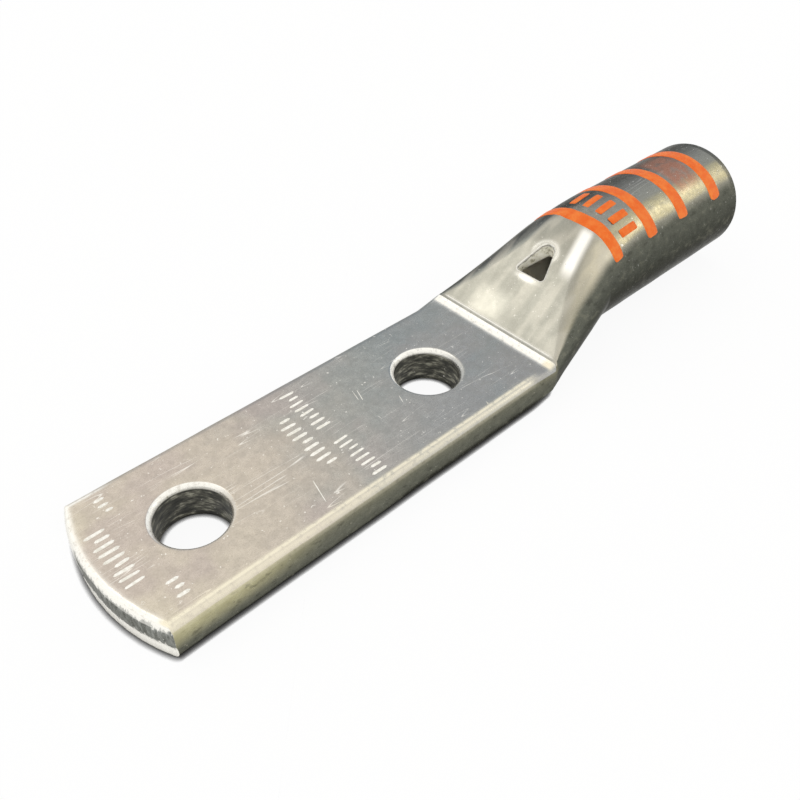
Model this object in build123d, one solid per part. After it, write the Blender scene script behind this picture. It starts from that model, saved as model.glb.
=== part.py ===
"""A two-hole cable lug, made from one length of copper tube.

The front of the tube is pressed flat into a tongue with two stud holes, a ramp leads up
from the tongue to the round barrel, and a hole in the ramp shows whether the cable is
fully in. Bands and a row of plain bars are printed on the barrel.
Millimetres, +X from the tongue to the barrel mouth, +Z up. The origin is midway between
the stud holes, on the flat underside that is bolted down.
"""
import os
from math import atan2, cos, radians, sin, sqrt, tan

from build123d import *

# Tube
tube_od = 21.2
wall = 3.1
mouth_chamfer = 0.4

# Tongue
tongue_width = 27.4
tongue_thickness = 2 * wall
top_edge_radius = 1.8
under_edge_radius = 1.2
nose_radius = 30.0
nose_margin = 14.8
nose_edge_radius = 1.0

# Stud holes
hole_spacing = 44.45
hole_diameter = 10.7
hole_rim_chamfer = 0.6
hole_under_chamfer = 0.1

# Ramp between the tongue and the barrel
crease_margin = 15.85
crease_flare = 0.35
crease_top_radius = 1.0
crease_under_radius = 2.6
flare_length = 5.0
ramp_run = 20.7
bend_radius = 28.0
narrowing_run = 17.9
barrel_reach = 58.8
seam_angle = 12.0
narrowing_stations = 7
bend_stations = 4

# Cavity under the ramp, with the floor buckled up along its middle where the tube narrows
cavity_margin = 1.2
floor_buckle = 0.7

# Sight hole through the ramp, squeezed to a rounded triangle by the press
sight_margin = 11.5
sight_offset = 0.9
sight_width = 5.6
sight_length = 6.3
sight_tip_radius = 1.5
sight_corner_radius = 0.5

# Inner end of the sight hole, pinched towards the ramp's foot
pinch_start = 0.5
pinch_width = 6.0
pinch_length = 4.7
pinch_tip_radius = 0.6

# Print on the barrel
ink_film = 0.1
band_half_angle = 59.0
bands_from_mouth = (7.2, 18.1, 27.8, 37.8)
band_widths = (3.1, 3.0, 3.0, 2.4)
bar_length = 4.4
bar_angle = 8.0
bar_pitch_angle = 15.5
bar_middle_angle = -8.0
bar_count = 5

# Places along the lug
tube_radius = tube_od / 2
front_hole_x = -hole_spacing / 2
rear_hole_x = hole_spacing / 2
nose_x = front_hole_x - nose_margin
crease_x = rear_hole_x + crease_margin
flare_x = crease_x - flare_length
narrow_end_x = crease_x + narrowing_run
mouth_x = crease_x + barrel_reach

# The ramp is a straight slope that bends over to the top of the barrel in one arc
ramp_angle = atan2(tube_od - tongue_thickness, ramp_run)
bend_tangent = bend_radius * tan(ramp_angle / 2)
bend_start_x = crease_x + ramp_run - bend_tangent * cos(ramp_angle)
bend_end_x = crease_x + ramp_run + bend_tangent


def top_height(x):
    """Height of the ramp above the underside, at x."""
    if x < bend_start_x:
        return tongue_thickness + (x - crease_x) * tan(ramp_angle)
    return tube_od - bend_radius + sqrt(bend_radius ** 2 - (bend_end_x - x) ** 2)


def outline(x, half_width, top, bottom, top_radius, under_radius, turn=0.0, lift=0.0):
    """Closed outline across the lug at x: four corner arcs and four sides.

    The corner arcs stop short by the angle turn at each end, and the sides bow out to
    meet them, so that a section whose corners fill it is a true circle of eight arcs.
    lift raises the middle of the bottom side.
    """
    steep = radians(90) - turn

    def corner(side, end, angle):
        radius = top_radius if end > 0 else under_radius
        centre_z = top - radius if end > 0 else bottom + radius
        return Vector(
            x,
            side * (half_width - radius + radius * sin(angle)),
            centre_z + end * radius * cos(angle),
        )

    def arc(start, middle, finish):
        bow = (middle - start).cross(finish - start).length
        return Line(start, finish) if bow < 1e-6 else ThreePointArc(start, middle, finish)

    side_z = (top - top_radius + bottom + under_radius) / 2
    half = radians(45)
    return Wire([
        arc(corner(-1, 1, turn), Vector(x, 0, top), corner(1, 1, turn)),
        arc(corner(1, 1, turn), corner(1, 1, half), corner(1, 1, steep)),
        arc(corner(1, 1, steep), Vector(x, half_width, side_z), corner(1, -1, steep)),
        arc(corner(1, -1, steep), corner(1, -1, half), corner(1, -1, turn)),
        arc(corner(1, -1, turn), Vector(x, 0, bottom + lift), corner(-1, -1, turn)),
        arc(corner(-1, -1, turn), corner(-1, -1, half), corner(-1, -1, steep)),
        arc(corner(-1, -1, steep), Vector(x, -half_width, side_z), corner(-1, 1, steep)),
        arc(corner(-1, 1, steep), corner(-1, 1, half), corner(-1, 1, turn)),
    ])


def tube_outline(x, inset=0.0, buckle=0.0):
    """Outline of the pressed tube at x, moved inwards by inset.

    The sides come in and their flats soon die out as the tube gets round. The lower
    corners grow evenly to the tube's own radius, and the upper ones take up the rest of
    the height. buckle is the lift of the floor, as a share of the clear height.
    """
    height = top_height(x)
    roundness = min((x - crease_x) / narrowing_run, 1.0)
    flatness = 1.0 - roundness
    half_width = (tongue_width / 2 + crease_flare) * flatness + tube_radius * roundness
    under_radius = crease_under_radius * flatness + tube_radius * roundness
    side_flat = (tongue_thickness - crease_top_radius - crease_under_radius) * flatness ** 2
    top_radius = height - side_flat - under_radius
    clear_height = height - 2 * inset
    clear_share = clear_height / height
    return outline(
        x,
        half_width - inset,
        height - inset,
        inset,
        top_radius * clear_share,
        under_radius * clear_share,
        turn=radians(seam_angle) * roundness,
        lift=buckle * clear_height,
    )


def spaced(start, end, count):
    """Evenly spaced values from start to end, both included."""
    return [start + (end - start) * step / (count - 1) for step in range(count)]


def tube_form(start_x, inset=0.0, buckle=0.0):
    """Solid inside the tube's outer face, or inside its wall, from start_x to the mouth.

    It has two lofts, because the press leaves a sharp bend where the narrowing ends.
    """

    def section(x):
        fade = max(narrow_end_x - x, 0) / (narrow_end_x - start_x)
        return tube_outline(x, inset, buckle * fade)

    narrowing = Solid.make_loft([section(x) for x in spaced(start_x, narrow_end_x, narrowing_stations)])
    bend = Solid.make_loft([section(x) for x in spaced(narrow_end_x, bend_end_x, bend_stations)])
    barrel = extrude(Face(section(bend_end_x)), amount=mouth_x - bend_end_x, dir=(1, 0, 0))
    return narrowing + bend + barrel


def tube_skin(inset=0.0):
    """Solid inside the tube's outer face, from the crease to the mouth."""
    return tube_form(crease_x, inset)


def tongue():
    """Flat front of the lug, up to the crease where the ramp starts."""

    def flat_outline(x, half_width, top_radius, under_radius):
        return outline(x, half_width, tongue_thickness, 0, top_radius, under_radius)

    straight = flat_outline(flare_x, tongue_width / 2, top_edge_radius, under_edge_radius)
    half_flared = tongue_width / 2 + crease_flare
    flared = flat_outline(crease_x, half_flared, crease_top_radius, crease_under_radius)
    plate = extrude(Face(straight), amount=flare_x - nose_x, dir=(-1, 0, 0))

    nose_centre_x = nose_x + nose_radius
    shear = Pos(nose_centre_x, 0) * Circle(nose_radius)
    shear += Pos((nose_centre_x + flare_x) / 2, 0) * Rectangle(flare_x - nose_centre_x, 2 * nose_radius)
    sheared = extrude(shear, amount=tongue_thickness)
    nose_edges = sheared.edges().group_by(Axis.Z)[-1].filter_by(GeomType.CIRCLE)
    plate = plate & fillet(nose_edges, nose_edge_radius)
    return plate + Solid.make_loft([straight, flared], ruled=True)


def cavity():
    """Inside of the tube: the bore, and the wedge that closes towards the crease."""
    return tube_form(crease_x + cavity_margin, wall, floor_buckle)


def stud_holes():
    """The two holes that take the studs."""
    hole = Cylinder(hole_diameter / 2, tongue_thickness, align=(Align.CENTER, Align.CENTER, Align.MIN))
    return [Pos(x, 0, 0) * hole for x in (front_hole_x, rear_hole_x)]


def rounded_triangle(start, length, width, tip_radius):
    """Triangle with its foot at start and its rounded tip up the ramp."""
    corner_y = width / 2 - sight_corner_radius
    tip = Pos(start + length - tip_radius, 0) * Circle(tip_radius)
    foot = Circle(sight_corner_radius)
    feet = [Pos(start + sight_corner_radius, y) * foot for y in (-corner_y, corner_y)]
    return make_hull([tip.edge()] + [corner.edge() for corner in feet])


def sight_hole():
    """Cutter for the sight hole, square to the ramp and pinched towards its inner end."""
    foot_x = crease_x + sight_margin * cos(ramp_angle)
    slope = Plane(
        origin=(foot_x, sight_offset, top_height(foot_x)),
        x_dir=(cos(ramp_angle), 0, sin(ramp_angle)),
        z_dir=(-sin(ramp_angle), 0, cos(ramp_angle)),
    )
    outer = slope * rounded_triangle(0, sight_length, sight_width, sight_tip_radius)
    inner = rounded_triangle(pinch_start, pinch_length, pinch_width, pinch_tip_radius)
    pinched = loft([outer, slope.offset(-wall) * inner])
    return pinched + extrude(outer, amount=wall, dir=slope.z_dir)


def stud_rims(body, upper):
    """Edges of the stud holes on the top or on the underside."""
    circles = body.edges().filter_by(GeomType.CIRCLE)
    rims = [e for e in circles if abs(e.radius - hole_diameter / 2) < 1e-3]
    return [e for e in rims if (e.center().Z > tongue_thickness / 2) == upper]


def lug_body():
    """The whole copper piece."""
    blank = tongue() + tube_skin()
    body = blank - cavity() - sight_hole() - stud_holes()
    body = chamfer(stud_rims(body, True), hole_rim_chamfer)
    body = chamfer(stud_rims(body, False), hole_under_chamfer)
    return chamfer(body.edges().group_by(Axis.X)[-1], mouth_chamfer)


def sector(start_x, end_x, low_angle, high_angle):
    """Wedge around the barrel's axis, between two angles from the top towards +Y."""
    reach = 2 * tube_od
    fan = Plane(origin=(start_x, 0, tube_radius), x_dir=(0, 1, 0), z_dir=(1, 0, 0))
    edge_points = [(reach * sin(radians(a)), reach * cos(radians(a))) for a in (low_angle, high_angle)]
    wedge = make_face(Polyline([(0, 0), *edge_points, (0, 0)]))
    return extrude(fan * wedge, amount=end_x - start_x)


def ink_film_solid():
    """Thin skin of ink over the whole tube, from which the print is cut."""
    return tube_skin(-ink_film) - tube_skin()


def band_places():
    """Start and end of each band along the barrel, from the mouth inwards."""
    places = []
    for distance, width in zip(bands_from_mouth, band_widths):
        middle_x = mouth_x - distance
        places.append((middle_x - width / 2, middle_x + width / 2))
    return places


def printed_bands(film):
    """Bands of ink over the top of the barrel."""
    return [film & sector(start, end, -band_half_angle, band_half_angle) for start, end in band_places()]


def printed_bars(film):
    """Row of plain bars in the gap between the two bands nearest the ramp."""
    gap_start = band_places()[-1][1]
    gap_end = band_places()[-2][0]
    middle_x = (gap_start + gap_end) / 2
    half_spread = bar_pitch_angle * (bar_count - 1) / 2
    bars = []
    for angle in spaced(bar_middle_angle - half_spread, bar_middle_angle + half_spread, bar_count):
        bars.append(film & sector(
            middle_x - bar_length / 2, middle_x + bar_length / 2,
            angle - bar_angle / 2, angle + bar_angle / 2,
        ))
    return bars


def write(name, shape):
    """One STEP file for each node."""
    shape.label = name
    export_step(shape, os.path.join("parts", name + ".step"))


os.makedirs("parts", exist_ok=True)
write("lug_body", lug_body())
ink = ink_film_solid()
write("printed_bands", Compound(printed_bands(ink)))
write("printed_bars", Compound(printed_bars(ink)))
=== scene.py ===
"""Looks of the two-hole tubular cable lug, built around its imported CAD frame.

Shapes are worked out in millimetres and written to Blender in metres, in the row frame:
+X from the tongue to the barrel mouth, +Z up, origin midway between the stud holes.
"""
from math import asin, atan2, cos, hypot, pi, radians, sin, sqrt, tan

import bpy
import numpy as np
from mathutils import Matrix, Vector, noise


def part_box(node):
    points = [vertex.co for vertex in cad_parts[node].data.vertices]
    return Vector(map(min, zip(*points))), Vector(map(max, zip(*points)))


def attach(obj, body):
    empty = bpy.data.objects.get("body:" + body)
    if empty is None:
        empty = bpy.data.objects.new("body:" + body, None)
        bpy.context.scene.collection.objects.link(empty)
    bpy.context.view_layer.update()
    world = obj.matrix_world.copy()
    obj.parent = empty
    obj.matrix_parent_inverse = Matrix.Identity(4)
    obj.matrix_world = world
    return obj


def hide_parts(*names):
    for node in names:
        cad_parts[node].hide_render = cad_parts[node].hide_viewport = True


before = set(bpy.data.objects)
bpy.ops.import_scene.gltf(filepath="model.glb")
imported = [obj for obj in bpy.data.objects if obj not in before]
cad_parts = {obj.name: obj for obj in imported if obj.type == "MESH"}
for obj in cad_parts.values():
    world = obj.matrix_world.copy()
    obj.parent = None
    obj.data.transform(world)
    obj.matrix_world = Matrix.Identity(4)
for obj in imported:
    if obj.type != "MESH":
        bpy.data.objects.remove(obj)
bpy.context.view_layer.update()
MM = 0.001

# Sizes of the lug, as in the part's source
TUBE_R, WALL, MOUTH_EASE = 10.6, 3.1, 0.4
TONGUE_W, TONGUE_T, TOP_EDGE_R, UNDER_EDGE_R = 27.4, 6.2, 1.8, 1.2
NOSE_R, NOSE_EDGE_R = 30.0, 1.0
HOLE_X, HOLE_R, HOLE_RIM_R, HOLE_UNDER = (-22.225, 22.225), 5.35, 0.65, 0.1
NOSE_X, FLARE_X, CREASE_X, MOUTH_X = -37.025, 33.075, 38.075, 96.875
CREASE_FLARE, CREASE_TOP_R, CREASE_UNDER_R = 0.35, 1.0, 2.6
RAMP_RUN, BEND_R, NARROW_RUN = 20.7, 28.0, 17.9
SEAM, CAVITY_MARGIN, FLOOR_BUCKLE = radians(12), 1.2, 0.7
SIGHT_MARGIN, SIGHT_Y, SIGHT_FOOT_R = 11.5, 0.9, 0.5
# Start, length, width and tip radius of the sight hole at its outer and its inner end
SIGHT_OUTER, SIGHT_INNER = np.array([0.0, 6.3, 5.6, 1.5]), np.array([0.5, 4.7, 6.0, 0.6])
RAMP_ANGLE = atan2(2 * TUBE_R - TONGUE_T, RAMP_RUN)
BEND_START = CREASE_X + RAMP_RUN - BEND_R * tan(RAMP_ANGLE / 2) * cos(RAMP_ANGLE)
BEND_END = CREASE_X + RAMP_RUN + BEND_R * tan(RAMP_ANGLE / 2)
WEDGE_X = CREASE_X + CAVITY_MARGIN
NARROW_END = CREASE_X + NARROW_RUN


# Form of the tube


def smooth(value, low, high):
    """0 below low, 1 above high, and an even S between them."""
    t = np.clip((value - low) / (high - low), 0, 1)
    return t * t * (3 - 2 * t)


def hump(value, middle, width):
    """1 at the middle, falling smoothly to 0 at a distance of about two widths."""
    return np.exp(-((value - middle) / width) ** 2)


def top_height(x):
    """Height of the top of the lug above its underside."""
    if x < CREASE_X:
        return TONGUE_T
    if x < BEND_START:
        return TONGUE_T + (x - CREASE_X) * tan(RAMP_ANGLE)
    return 2 * TUBE_R - BEND_R + sqrt(BEND_R ** 2 - max(BEND_END - x, 0) ** 2)


def section(x, inset=0.0):
    """Half width, top, bottom, corner radii, arc stop angle and floor lift of the outline at x."""
    if x <= CREASE_X:
        share = min(max((x - FLARE_X) / (CREASE_X - FLARE_X), 0), 1)
        top_r = TOP_EDGE_R + (CREASE_TOP_R - TOP_EDGE_R) * share
        under_r = UNDER_EDGE_R + (CREASE_UNDER_R - UNDER_EDGE_R) * share
        return TONGUE_W / 2 + CREASE_FLARE * share, TONGUE_T, 0.0, top_r, under_r, 0.0, 0.0
    round_share = min((x - CREASE_X) / NARROW_RUN, 1)
    flat = 1 - round_share
    height = top_height(x)
    half_width = (TONGUE_W / 2 + CREASE_FLARE) * flat + TUBE_R * round_share
    under_r = CREASE_UNDER_R * flat + TUBE_R * round_share
    top_r = height - under_r - (TONGUE_T - CREASE_TOP_R - CREASE_UNDER_R) * flat ** 2
    clear = height - 2 * inset
    lift = 0.0
    if inset:
        lift = FLOOR_BUCKLE * clear * max(NARROW_END - x, 0) / (NARROW_END - WEDGE_X)
    share = clear / height
    turn = SEAM * round_share
    return half_width - inset, height - inset, inset, top_r * share, under_r * share, turn, lift


def arc_points(start, middle, finish, count):
    """count points from start towards finish on the arc through the middle, without the finish."""
    a, b, c = (np.array(p, float) for p in (start, middle, finish))
    steps = np.arange(count) / count
    bow = (b[0] - a[0]) * (c[1] - a[1]) - (b[1] - a[1]) * (c[0] - a[0])
    if abs(bow) < 1e-5:
        return a + (c - a) * steps[:, None]
    d = 2 * (a[0] * (b[1] - c[1]) + b[0] * (c[1] - a[1]) + c[0] * (a[1] - b[1]))
    aa, bb, cc = (p @ p for p in (a, b, c))
    centre = np.array([
        (aa * (b[1] - c[1]) + bb * (c[1] - a[1]) + cc * (a[1] - b[1])) / d,
        (aa * (c[0] - b[0]) + bb * (a[0] - c[0]) + cc * (b[0] - a[0])) / d,
    ])
    first, last = (atan2(*(p - centre)[::-1]) for p in (a, c))
    turn = (last - first + pi) % (2 * pi) - pi
    angle = first + turn * steps
    return centre + hypot(*(a - centre)) * np.stack([np.cos(angle), np.sin(angle)], 1)


# Points on each of the eight arcs of an outline, from the top round to it again
FLAT_N, CORNER_N, SIDE_N = 48, 14, 8
COUNTS = (FLAT_N, CORNER_N, SIDE_N, CORNER_N, FLAT_N, CORNER_N, SIDE_N, CORNER_N)
LOOP_N = sum(COUNTS)
UNDER_START = FLAT_N + 2 * CORNER_N + SIDE_N


def loop(x, inset=0.0):
    """Closed outline at x as points (y, z)."""
    half_width, top, bottom, top_r, under_r, turn, lift = section(x, inset)

    def corner(side, end, angle):
        radius = top_r if end > 0 else under_r
        return (side * (half_width - radius + radius * sin(angle)),
                (top - radius if end > 0 else bottom + radius) + end * radius * cos(angle))

    side_z = (top - top_r + bottom + under_r) / 2
    steep, half = pi / 2 - turn, pi / 4
    arcs = [
        (corner(-1, 1, turn), (0, top), corner(1, 1, turn)),
        (corner(1, 1, turn), corner(1, 1, half), corner(1, 1, steep)),
        (corner(1, 1, steep), (half_width, side_z), corner(1, -1, steep)),
        (corner(1, -1, steep), corner(1, -1, half), corner(1, -1, turn)),
        (corner(1, -1, turn), (0, bottom + lift), corner(-1, -1, turn)),
        (corner(-1, -1, turn), corner(-1, -1, half), corner(-1, -1, steep)),
        (corner(-1, -1, steep), (-half_width, side_z), corner(-1, 1, steep)),
        (corner(-1, 1, steep), corner(-1, 1, half), corner(-1, 1, turn)),
    ]
    return np.concatenate([arc_points(*arc, count) for arc, count in zip(arcs, COUNTS)])


def crown_height(x, y, inset=0.0):
    """Height of the top face, or with an inset of the ceiling of the hollow, at x and y."""
    half_width, top, _, top_r, _, turn, _ = section(x, inset)
    end_y = half_width - top_r + top_r * sin(turn)
    sag = top_r * (1 - cos(turn))
    if sag < 1e-6:
        return top
    radius = (end_y ** 2 + sag ** 2) / (2 * sag)
    return top - radius + sqrt(max(radius ** 2 - y ** 2, 0))


# Mesh building


class Shell:
    """Points and faces of one mesh, with the region that each point belongs to."""

    def __init__(self):
        self.points, self.faces, self.regions = [], [], []

    def add(self, points, region):
        start = len(self.points)
        self.points.extend(tuple(float(c) for c in p) for p in points)
        self.regions.extend([region] * len(points))
        return list(range(start, len(self.points)))

    def grow(self, row, points, region):
        """Adds a closed row of points that is joined to the row before it."""
        ring = self.add(points, region)
        self.band(row, ring)
        return ring

    def band(self, first, second, closed=True):
        """Quads between two rows of points of the same length."""
        pairs = range(len(first)) if closed else range(len(first) - 1)
        for i in pairs:
            k = (i + 1) % len(first)
            self.faces.append((first[i], first[k], second[k], second[i]))

    def build(self, name, material, sharp=radians(38)):
        mesh = bpy.data.meshes.new(name)
        mesh.from_pydata([tuple(c * MM for c in p) for p in self.points], [], self.faces)
        mesh.validate()
        mesh.polygons.foreach_set("use_smooth", [True] * len(mesh.polygons))
        mesh.set_sharp_from_angle(angle=sharp)
        mesh.materials.append(material)
        piece = bpy.data.objects.new(name, mesh)
        bpy.context.scene.collection.objects.link(piece)
        return piece


def closing(share, ease):
    """A share of the way in to an outline, with shorter steps towards its end."""
    return share * (2 - share) * ease + share * (1 - ease)


def fill_rings(shell, outer, inner_xy, lift, region, rings):
    """Rings of points from a closed row of existing points in to a closed outline of new ones."""
    outer_xy = np.array([shell.points[i][:2] for i in outer])
    row = outer
    for step in range(1, rings + 1):
        ring_xy = outer_xy + (inner_xy - outer_xy) * closing(step / rings, 0.35)
        row = shell.grow(row, [(x, y, lift(x, y)) for x, y in ring_xy], region)
    return row


def block_rim(grid, rows, columns):
    """Indices round a block of the grid, as a closed row."""
    (r0, r1), (c0, c1) = rows, columns
    rim = [grid[r0][c] for c in range(c0, c1)]
    rim += [grid[r][c1] for r in range(r0, r1)]
    rim += [grid[r1][c] for c in range(c1, c0, -1)]
    rim += [grid[r][c0] for r in range(r1, r0, -1)]
    return rim


def angles_from(points, centre):
    return [atan2(p[1] - centre[1], p[0] - centre[0]) for p in points]


def ray_to_outline(outline, centre, angle):
    """Where a ray from the centre meets a closed outline of points."""
    d = np.array([cos(angle), sin(angle)])
    a = outline - centre
    b = np.roll(outline, -1, 0) - centre
    e = b - a
    cross = d[0] * e[:, 1] - d[1] * e[:, 0]
    cross = np.where(np.abs(cross) < 1e-12, 1e-12, cross)
    t = (a[:, 0] * e[:, 1] - a[:, 1] * e[:, 0]) / cross
    s = (a[:, 0] * d[1] - a[:, 1] * d[0]) / cross
    hits = t[(s >= -1e-9) & (s <= 1 + 1e-9) & (t > 0)]
    return centre + d * hits.max()


# The lug body

# Half the length of the block of the grid round a stud hole, and the ends of the sight hole's block
BLOCK = 9.0
SIGHT_START, SIGHT_END = 45.3, 54.3
# The crease's relief needs close rows, and so does the end of the barrel
CREASE_START, CREASE_END, MOUTH_LEAD = 36.7, 39.7, 1.2


def rows_over(spans):
    """Places of rows over spans (start, end, count), each without its end."""
    places = []
    for start, end, count in spans:
        places += list(np.linspace(start, end, count, endpoint=False))
    return places


def nose_x_at(y, z=0.0):
    """Place of the nose's face at y and z, which rounds back towards its top edge."""
    up = max(z - (TONGUE_T - NOSE_EDGE_R), 0)
    back = NOSE_EDGE_R - sqrt(NOSE_EDGE_R ** 2 - min(up, NOSE_EDGE_R) ** 2)
    return NOSE_X + NOSE_R - sqrt((NOSE_R - back) ** 2 - y ** 2)


shell = Shell()
grid = []
# Rows of the outer skin, close together where the form changes
rows_x = rows_over([
    (HOLE_X[0] - BLOCK, HOLE_X[0] + BLOCK, 36),
    (HOLE_X[0] + BLOCK, HOLE_X[1] - BLOCK, 40),
    (HOLE_X[1] - BLOCK, HOLE_X[1] + BLOCK, 36),
    (HOLE_X[1] + BLOCK, CREASE_START, 14),
    (CREASE_START, CREASE_END, 30),
    (CREASE_END, SIGHT_START, 16),
    (SIGHT_START, SIGHT_END, 32),
    (SIGHT_END, NARROW_END, 6),
    (NARROW_END, BEND_END, 26),
    (BEND_END, MOUTH_X - MOUTH_LEAD, 40),
    (MOUTH_X - MOUTH_LEAD, MOUTH_X - MOUTH_EASE, 3),
]) + [MOUTH_X - MOUTH_EASE]

# Rows between the rounded nose and the first block follow the curve of the nose
nose_rows = np.array([0.0, 0.02, 0.05, 0.09, 0.14, 0.2, 0.3, 0.42, 0.55, 0.7, 0.85])
first_loop = loop(rows_x[0])
nose_loop_x = np.array([nose_x_at(y, z) for y, z in first_loop])
for share in nose_rows:
    xs = nose_loop_x + (rows_x[0] - nose_loop_x) * share
    grid.append(shell.add([(x, y, z) for x, (y, z) in zip(xs, first_loop)], "skin"))
lead = len(grid)
for x in rows_x:
    grid.append(shell.add([(x, y, z) for y, z in loop(x)], "skin"))


def row_at(x):
    """The row of the grid that lies nearest to x."""
    return lead + int(np.argmin([abs(x - place) for place in rows_x]))


# Blocks of the grid that the holes take the place of
MARGIN = 6
hole_rows = [(row_at(x - BLOCK), row_at(x + BLOCK)) for x in HOLE_X]
top_columns = (MARGIN, FLAT_N - MARGIN)
under_columns = (UNDER_START + MARGIN, UNDER_START + FLAT_N - MARGIN)
sight_rows = (row_at(SIGHT_START), row_at(SIGHT_END))
sight_columns = (5, FLAT_N - 2)


def within(r, c, rows, columns):
    return rows[0] <= r < rows[1] and columns[0] <= c < columns[1]


blocks = [(rows, columns) for rows in hole_rows for columns in (top_columns, under_columns)]
blocks.append((sight_rows, sight_columns))
for r in range(len(grid) - 1):
    for c in range(LOOP_N):
        if not any(within(r, c, *block) for block in blocks):
            k = (c + 1) % LOOP_N
            shell.faces.append((grid[r][c], grid[r][k], grid[r + 1][k], grid[r + 1][c]))

# Stud holes: face, rim, wall, lower rim and underside
TOP_RINGS, RIM_STEPS, HOLE_WALL_STEPS, UNDER_RINGS = 14, 8, 20, 12
for hole_x, rows in zip(HOLE_X, hole_rows):
    centre = (hole_x, 0)
    rim_top = block_rim(grid, rows, top_columns)
    rim_under = block_rim(grid, rows, under_columns)
    # The under block runs the other way in y, so its row is reversed and turned to match the top one
    top_angle = angles_from([shell.points[i] for i in rim_top], centre)
    under_angle = angles_from([shell.points[i] for i in rim_under], centre)
    rim_under, under_angle = rim_under[::-1], under_angle[::-1]
    gap = [abs((a - top_angle[0] + pi) % (2 * pi) - pi) for a in under_angle]
    shift = int(np.argmin(gap))
    rim_under = rim_under[shift:] + rim_under[:shift]
    under_angle = under_angle[shift:] + under_angle[:shift]

    def circle(radius, share):
        points = []
        for a, b in zip(top_angle, under_angle):
            turn = (b - a + pi) % (2 * pi) - pi
            points.append((hole_x + radius * cos(a + turn * share), radius * sin(a + turn * share)))
        return np.array(points)

    row = fill_rings(shell, rim_top, circle(HOLE_R + HOLE_RIM_R, 0), crown_height, "skin", TOP_RINGS)
    # The rim is halfway between a rounding and a chamfer
    for step in range(1, RIM_STEPS + 1):
        share = step / RIM_STEPS
        turn = share * pi / 2
        radius = HOLE_R + HOLE_RIM_R * (0.5 * (1 - sin(turn)) + 0.5 * (1 - share))
        height = TONGUE_T - HOLE_RIM_R * (0.5 * (1 - cos(turn)) + 0.5 * share)
        row = shell.grow(row, [(x, y, height) for x, y in circle(radius, 0)], "rim")
    wall_top, wall_low = TONGUE_T - HOLE_RIM_R, HOLE_UNDER
    for step in range(1, HOLE_WALL_STEPS + 1):
        share = step / HOLE_WALL_STEPS
        height = wall_top + (wall_low - wall_top) * share
        row = shell.grow(row, [(x, y, height) for x, y in circle(HOLE_R, share)], "wall")
    under_circle = circle(HOLE_R + HOLE_UNDER, 1)
    under = fill_rings(shell, rim_under, under_circle, lambda x, y: 0.0, "skin", UNDER_RINGS)
    shell.band(row, under)

# Nose face, cut square to the tongue
row = grid[0]
NOSE_RINGS = 22
core_y = TONGUE_W / 2 - TONGUE_T / 2
for step in range(1, NOSE_RINGS + 1):
    share = (step / NOSE_RINGS) ** 1.5
    ring_points = []
    for y, z in first_loop:
        core = min(max(y, -core_y), core_y)
        ry, rz = y + (core - y) * share, z + (TONGUE_T / 2 - z) * share
        ring_points.append((nose_x_at(ry, rz), ry, rz))
    ring = shell.add(ring_points, "nose")
    shell.band(row[::-1], ring[::-1])
    row = ring

# Hollow inside the tube, from the tip of the wedge to the mouth
WEDGE_ROWS, INNER_SIGHT_ROWS = 8, 28
hollow_x = rows_over([
    (WEDGE_X, SIGHT_START, WEDGE_ROWS),
    (SIGHT_START, SIGHT_END, INNER_SIGHT_ROWS),
    (SIGHT_END, NARROW_END, 4),
    (NARROW_END, BEND_END, 16),
]) + list(np.linspace(BEND_END, MOUTH_X - MOUTH_EASE, 30))
hollow = [shell.add([(x, y, z) for y, z in loop(x, WALL)], "hollow") for x in hollow_x]
inner_sight_rows = (WEDGE_ROWS - 1, WEDGE_ROWS + INNER_SIGHT_ROWS + 1)
inner_sight_columns = (3, FLAT_N - 1)
for r in range(len(hollow) - 1):
    for c in range(LOOP_N):
        if not within(r, c, inner_sight_rows, inner_sight_columns):
            k = (c + 1) % LOOP_N
            shell.faces.append((hollow[r][c], hollow[r + 1][c], hollow[r + 1][k], hollow[r][k]))
tip = hollow[0]
tip_centre = shell.add([(WEDGE_X, 0, top_height(WEDGE_X) / 2)], "hollow")[0]
for c in range(LOOP_N):
    shell.faces.append((tip[c], tip[(c + 1) % LOOP_N], tip_centre))

# Mouth: eased outer edge, flat ring, eased inner edge
EASE_STEPS = 4
row = grid[-1]
mouth_angle = angles_from([shell.points[i][1:] for i in row], (0, TUBE_R))
profile = []
for step in range(1, EASE_STEPS + 1):
    turn = step / EASE_STEPS * pi / 2
    profile.append((MOUTH_X - MOUTH_EASE * (1 - sin(turn)), TUBE_R - MOUTH_EASE * (1 - cos(turn))))
profile += [(MOUTH_X, TUBE_R - share * WALL) for share in (0.3, 0.5, 0.7)]
for step in range(EASE_STEPS):
    turn = step / EASE_STEPS * pi / 2
    profile.append((MOUTH_X - MOUTH_EASE * (1 - cos(turn)), TUBE_R - WALL + MOUTH_EASE * (1 - sin(turn))))
for x, radius in profile:
    row = shell.grow(row, [(x, radius * cos(a), TUBE_R + radius * sin(a)) for a in mouth_angle], "mouth")
shell.band(row, hollow[-1])

# Sight hole, square to the ramp
foot_x = CREASE_X + SIGHT_MARGIN * cos(RAMP_ANGLE)
foot = np.array([foot_x, SIGHT_Y, top_height(foot_x)])
up_ramp = np.array([cos(RAMP_ANGLE), 0, sin(RAMP_ANGLE)])
across = np.array([0.0, 1.0, 0.0])
out = np.array([-sin(RAMP_ANGLE), 0, cos(RAMP_ANGLE)])


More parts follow.
